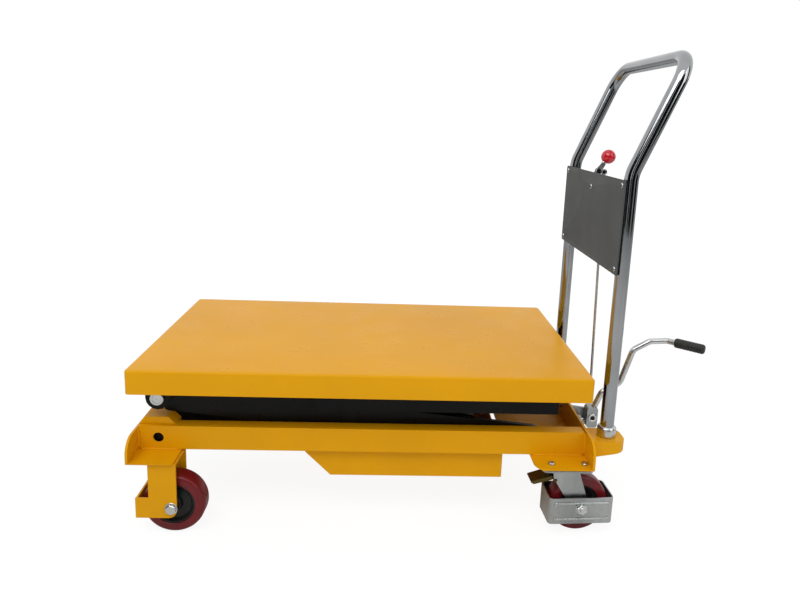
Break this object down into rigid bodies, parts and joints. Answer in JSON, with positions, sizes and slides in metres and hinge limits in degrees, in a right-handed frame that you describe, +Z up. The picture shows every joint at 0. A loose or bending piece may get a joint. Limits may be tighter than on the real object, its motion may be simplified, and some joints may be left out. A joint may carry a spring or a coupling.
{
  "type": "mobile lift table",
  "caption": "Mobile scissor lift table: a folded yellow deck over crossed arms on a wheeled base, with a chrome push handle, foot pump pedal and release lever.",
  "frame": {"origin": "middle of the whole object's box, on the floor under the wheels", "axes": "+Z up, +X towards the handle, and the near side faces -Y"},
  "size_m": [1.2282, 0.528, 0.9869],
  "materials": {
    "yellow_paint": "glossy orange-yellow powder coat",
    "black_paint": "glossy black paint",
    "zinc_plate": "satin grey zinc plate",
    "chrome": "polished chrome plate",
    "bright_steel": "bare machined steel",
    "panel_grey": "satin blue-grey paint",
    "red_tyre": "dark red moulded polyurethane",
    "black_nylon": "moulded black nylon",
    "red_knob": "glossy red plastic",
    "black_rubber": "matte black rubber",
    "dark_zinc": "dull olive passivated zinc"
  },
  "bodies": {
    "base": {"side_rail_near": "yellow_paint", "side_rail_far": "yellow_paint", "front_end_plate": "yellow_paint", "rear_end_plate": "yellow_paint", "bottom_tray": "yellow_paint", "front_wheel_bracket_near": "yellow_paint", "front_wheel_bracket_far": "yellow_paint", "caster_mounting_plate_near": "zinc_plate", "caster_mounting_plate_far": "zinc_plate", "handle_tube": "chrome", "control_panel": "panel_grey", "lever_bracket": "chrome", "pump_body": "zinc_plate", "oil_reservoir": "black_paint", "pressure_pipe": "bright_steel", "cylinder_foot_bracket": "zinc_plate"},
    "inner_arms": {"inner_arm_near": "black_paint", "inner_arm_far": "black_paint", "cylinder_cross_tube": "black_paint", "inner_tie_tube": "black_paint", "lower_pivot_pin_near": "bright_steel", "lower_pivot_pin_far": "bright_steel"},
    "outer_arms": {"outer_arm_near": "black_paint", "outer_arm_far": "black_paint", "outer_upper_tie_tube": "black_paint", "outer_lower_tie_tube": "black_paint", "centre_pivot_pin_near": "bright_steel", "centre_pivot_pin_far": "bright_steel"},
    "table": {"table_top": "yellow_paint", "table_side_member_near": "yellow_paint", "table_side_member_far": "yellow_paint", "upper_pivot_pin_near": "bright_steel", "upper_pivot_pin_far": "bright_steel"},
    "base_roller_near": {"base_roller_near": "bright_steel"},
    "top_roller_near": {"top_roller_near": "bright_steel"},
    "base_roller_far": {"base_roller_far": "bright_steel"},
    "top_roller_far": {"top_roller_far": "bright_steel"},
    "front_wheel_near": {"front_near_wheel_hub": "black_nylon", "front_near_wheel_tyre": "red_tyre"},
    "caster_near": {"caster_fork_near": "zinc_plate", "caster_guard_near": "zinc_plate"},
    "caster_wheel_near": {"caster_near_wheel_hub": "black_nylon", "caster_near_wheel_tyre": "red_tyre"},
    "brake_pedal_near": {"brake_pedal_near": "dark_zinc"},
    "front_wheel_far": {"front_far_wheel_hub": "black_nylon", "front_far_wheel_tyre": "red_tyre"},
    "caster_far": {"caster_fork_far": "zinc_plate", "caster_guard_far": "zinc_plate"},
    "caster_wheel_far": {"caster_far_wheel_hub": "black_nylon", "caster_far_wheel_tyre": "red_tyre"},
    "brake_pedal_far": {"brake_pedal_far": "dark_zinc"},
    "piston_rod": {"piston_rod": "chrome"},
    "cylinder_barrel": {"cylinder_barrel": "black_paint"},
    "foot_pedal": {"foot_pedal_rod": "zinc_plate", "pedal_grip": "black_rubber"},
    "pump_plunger": {"pump_plunger": "bright_steel"},
    "release_lever": {"release_lever": "chrome", "release_knob": "red_knob"},
    "release_rod": {"release_rod": "bright_steel"},
    "valve_lever": {"valve_lever": "dark_zinc"}
  },
  "joints": [
    {"name": "lift", "type": "hinge", "parent": "base", "child": "inner_arms", "pos_m": [-0.56909, 0, 0.186], "axis": [0, -1, 0], "range_deg": [0, 49.9]},
    {"name": "outer_arm_fold", "type": "hinge", "parent": "inner_arms", "child": "outer_arms", "pos_m": [-0.18654, 0, 0.2275], "axis": [0, -1, 0], "range_deg": [-99.81, 0]},
    {"name": "table_level", "type": "hinge", "parent": "outer_arms", "child": "table", "pos_m": [-0.56909, 0, 0.269], "axis": [0, -1, 0], "range_deg": [0, 49.91]},
    {"name": "base_roller_spin_near", "type": "hinge", "parent": "outer_arms", "child": "base_roller_near", "pos_m": [0.19602, 0, 0.186], "axis": [0, 1, 0], "continuous": true},
    {"name": "top_roller_spin_near", "type": "hinge", "parent": "inner_arms", "child": "top_roller_near", "pos_m": [0.19602, 0, 0.269], "axis": [0, 1, 0], "continuous": true},
    {"name": "base_roller_spin_far", "type": "hinge", "parent": "outer_arms", "child": "base_roller_far", "pos_m": [0.19602, 0, 0.186], "axis": [0, 1, 0], "continuous": true},
    {"name": "top_roller_spin_far", "type": "hinge", "parent": "inner_arms", "child": "top_roller_far", "pos_m": [0.19602, 0, 0.269], "axis": [0, 1, 0], "continuous": true},
    {"name": "piston_rod_swing", "type": "hinge", "parent": "inner_arms", "child": "piston_rod", "pos_m": [-0.33049, 0, 0.21188], "axis": [0, -1, 0], "range_deg": [-64.96, 0]},
    {"name": "cylinder_stroke", "type": "slide", "parent": "piston_rod", "child": "cylinder_barrel", "axis": [0.9808, 0, -0.1952], "range_m": [0, 0.1563]},
    {"name": "front_wheel_spin_near", "type": "hinge", "parent": "base", "child": "front_wheel_near", "pos_m": [-0.53109, 0, 0.0615], "axis": [0, 1, 0], "continuous": true},
    {"name": "caster_swivel_near", "type": "hinge", "parent": "base", "child": "caster_near", "pos_m": [0.25841, -0.207, 0], "axis": [0, 0, 1], "continuous": true},
    {"name": "caster_wheel_spin_near", "type": "hinge", "parent": "caster_near", "child": "caster_wheel_near", "pos_m": [0.29286, -0.20519, 0.0615], "axis": [-0.0523, 0.9986, 0], "continuous": true},
    {"name": "brake_pedal_press_near", "type": "hinge", "parent": "caster_near", "child": "brake_pedal_near", "pos_m": [0.23644, -0.20815, 0.12], "axis": [0.0523, -0.9986, 0], "range_deg": [0, 8]},
    {"name": "front_wheel_spin_far", "type": "hinge", "parent": "base", "child": "front_wheel_far", "pos_m": [-0.53109, 0, 0.0615], "axis": [0, 1, 0], "continuous": true},
    {"name": "caster_swivel_far", "type": "hinge", "parent": "base", "child": "caster_far", "pos_m": [0.25841, 0.207, 0], "axis": [0, 0, 1], "continuous": true},
    {"name": "caster_wheel_spin_far", "type": "hinge", "parent": "caster_far", "child": "caster_wheel_far", "pos_m": [0.29286, 0.20519, 0.0615], "axis": [0.0523, 0.9986, 0], "continuous": true},
    {"name": "brake_pedal_press_far", "type": "hinge", "parent": "caster_far", "child": "brake_pedal_far", "pos_m": [0.23644, 0.20815, 0.12], "axis": [-0.0523, -0.9986, 0], "range_deg": [0, 8]},
    {"name": "foot_pedal_press", "type": "hinge", "parent": "base", "child": "foot_pedal", "pos_m": [0.37991, 0, 0.152], "axis": [0, 1, 0], "range_deg": [0, 35], "stiffness_Nm_per_rad": 6, "springref_deg": -22.92},
    {"name": "pump_plunger_stroke", "type": "slide", "parent": "base", "child": "pump_plunger", "axis": [-1, 0, 0], "range_m": [0, 0.01375]},
    {"name": "release_lever_pull", "type": "hinge", "parent": "base", "child": "release_lever", "pos_m": [0.34391, 0, 0.738], "axis": [0, -1, 0], "range_deg": [0, 25], "stiffness_Nm_per_rad": 0.3, "springref_deg": -20.05},
    {"name": "release_rod_stroke", "type": "slide", "parent": "base", "child": "release_rod", "axis": [-0.0289, 0, 0.9996], "range_m": [0, 0.0055]},
    {"name": "valve_lever_turn", "type": "hinge", "parent": "base", "child": "valve_lever", "pos_m": [0.35491, 0, 0.196], "axis": [0, -1, 0], "range_deg": [0, 18.32]}
  ],
  "couplings": [
    {"joint": "outer_arm_fold", "follows": "lift", "ratio": -2},
    {"joint": "table_level", "follows": "lift", "ratio": 1},
    {"joint": "piston_rod_swing", "follows": "lift", "ratio": -1.3017},
    {"joint": "cylinder_stroke", "follows": "lift", "m_per_rad": 0.17944},
    {"joint": "pump_plunger_stroke", "follows": "foot_pedal_press", "m_per_rad": 0.0225},
    {"joint": "release_rod_stroke", "follows": "release_lever_pull", "m_per_rad": 0.0126},
    {"joint": "valve_lever_turn", "follows": "release_lever_pull", "ratio": 0.73256}
  ]
}
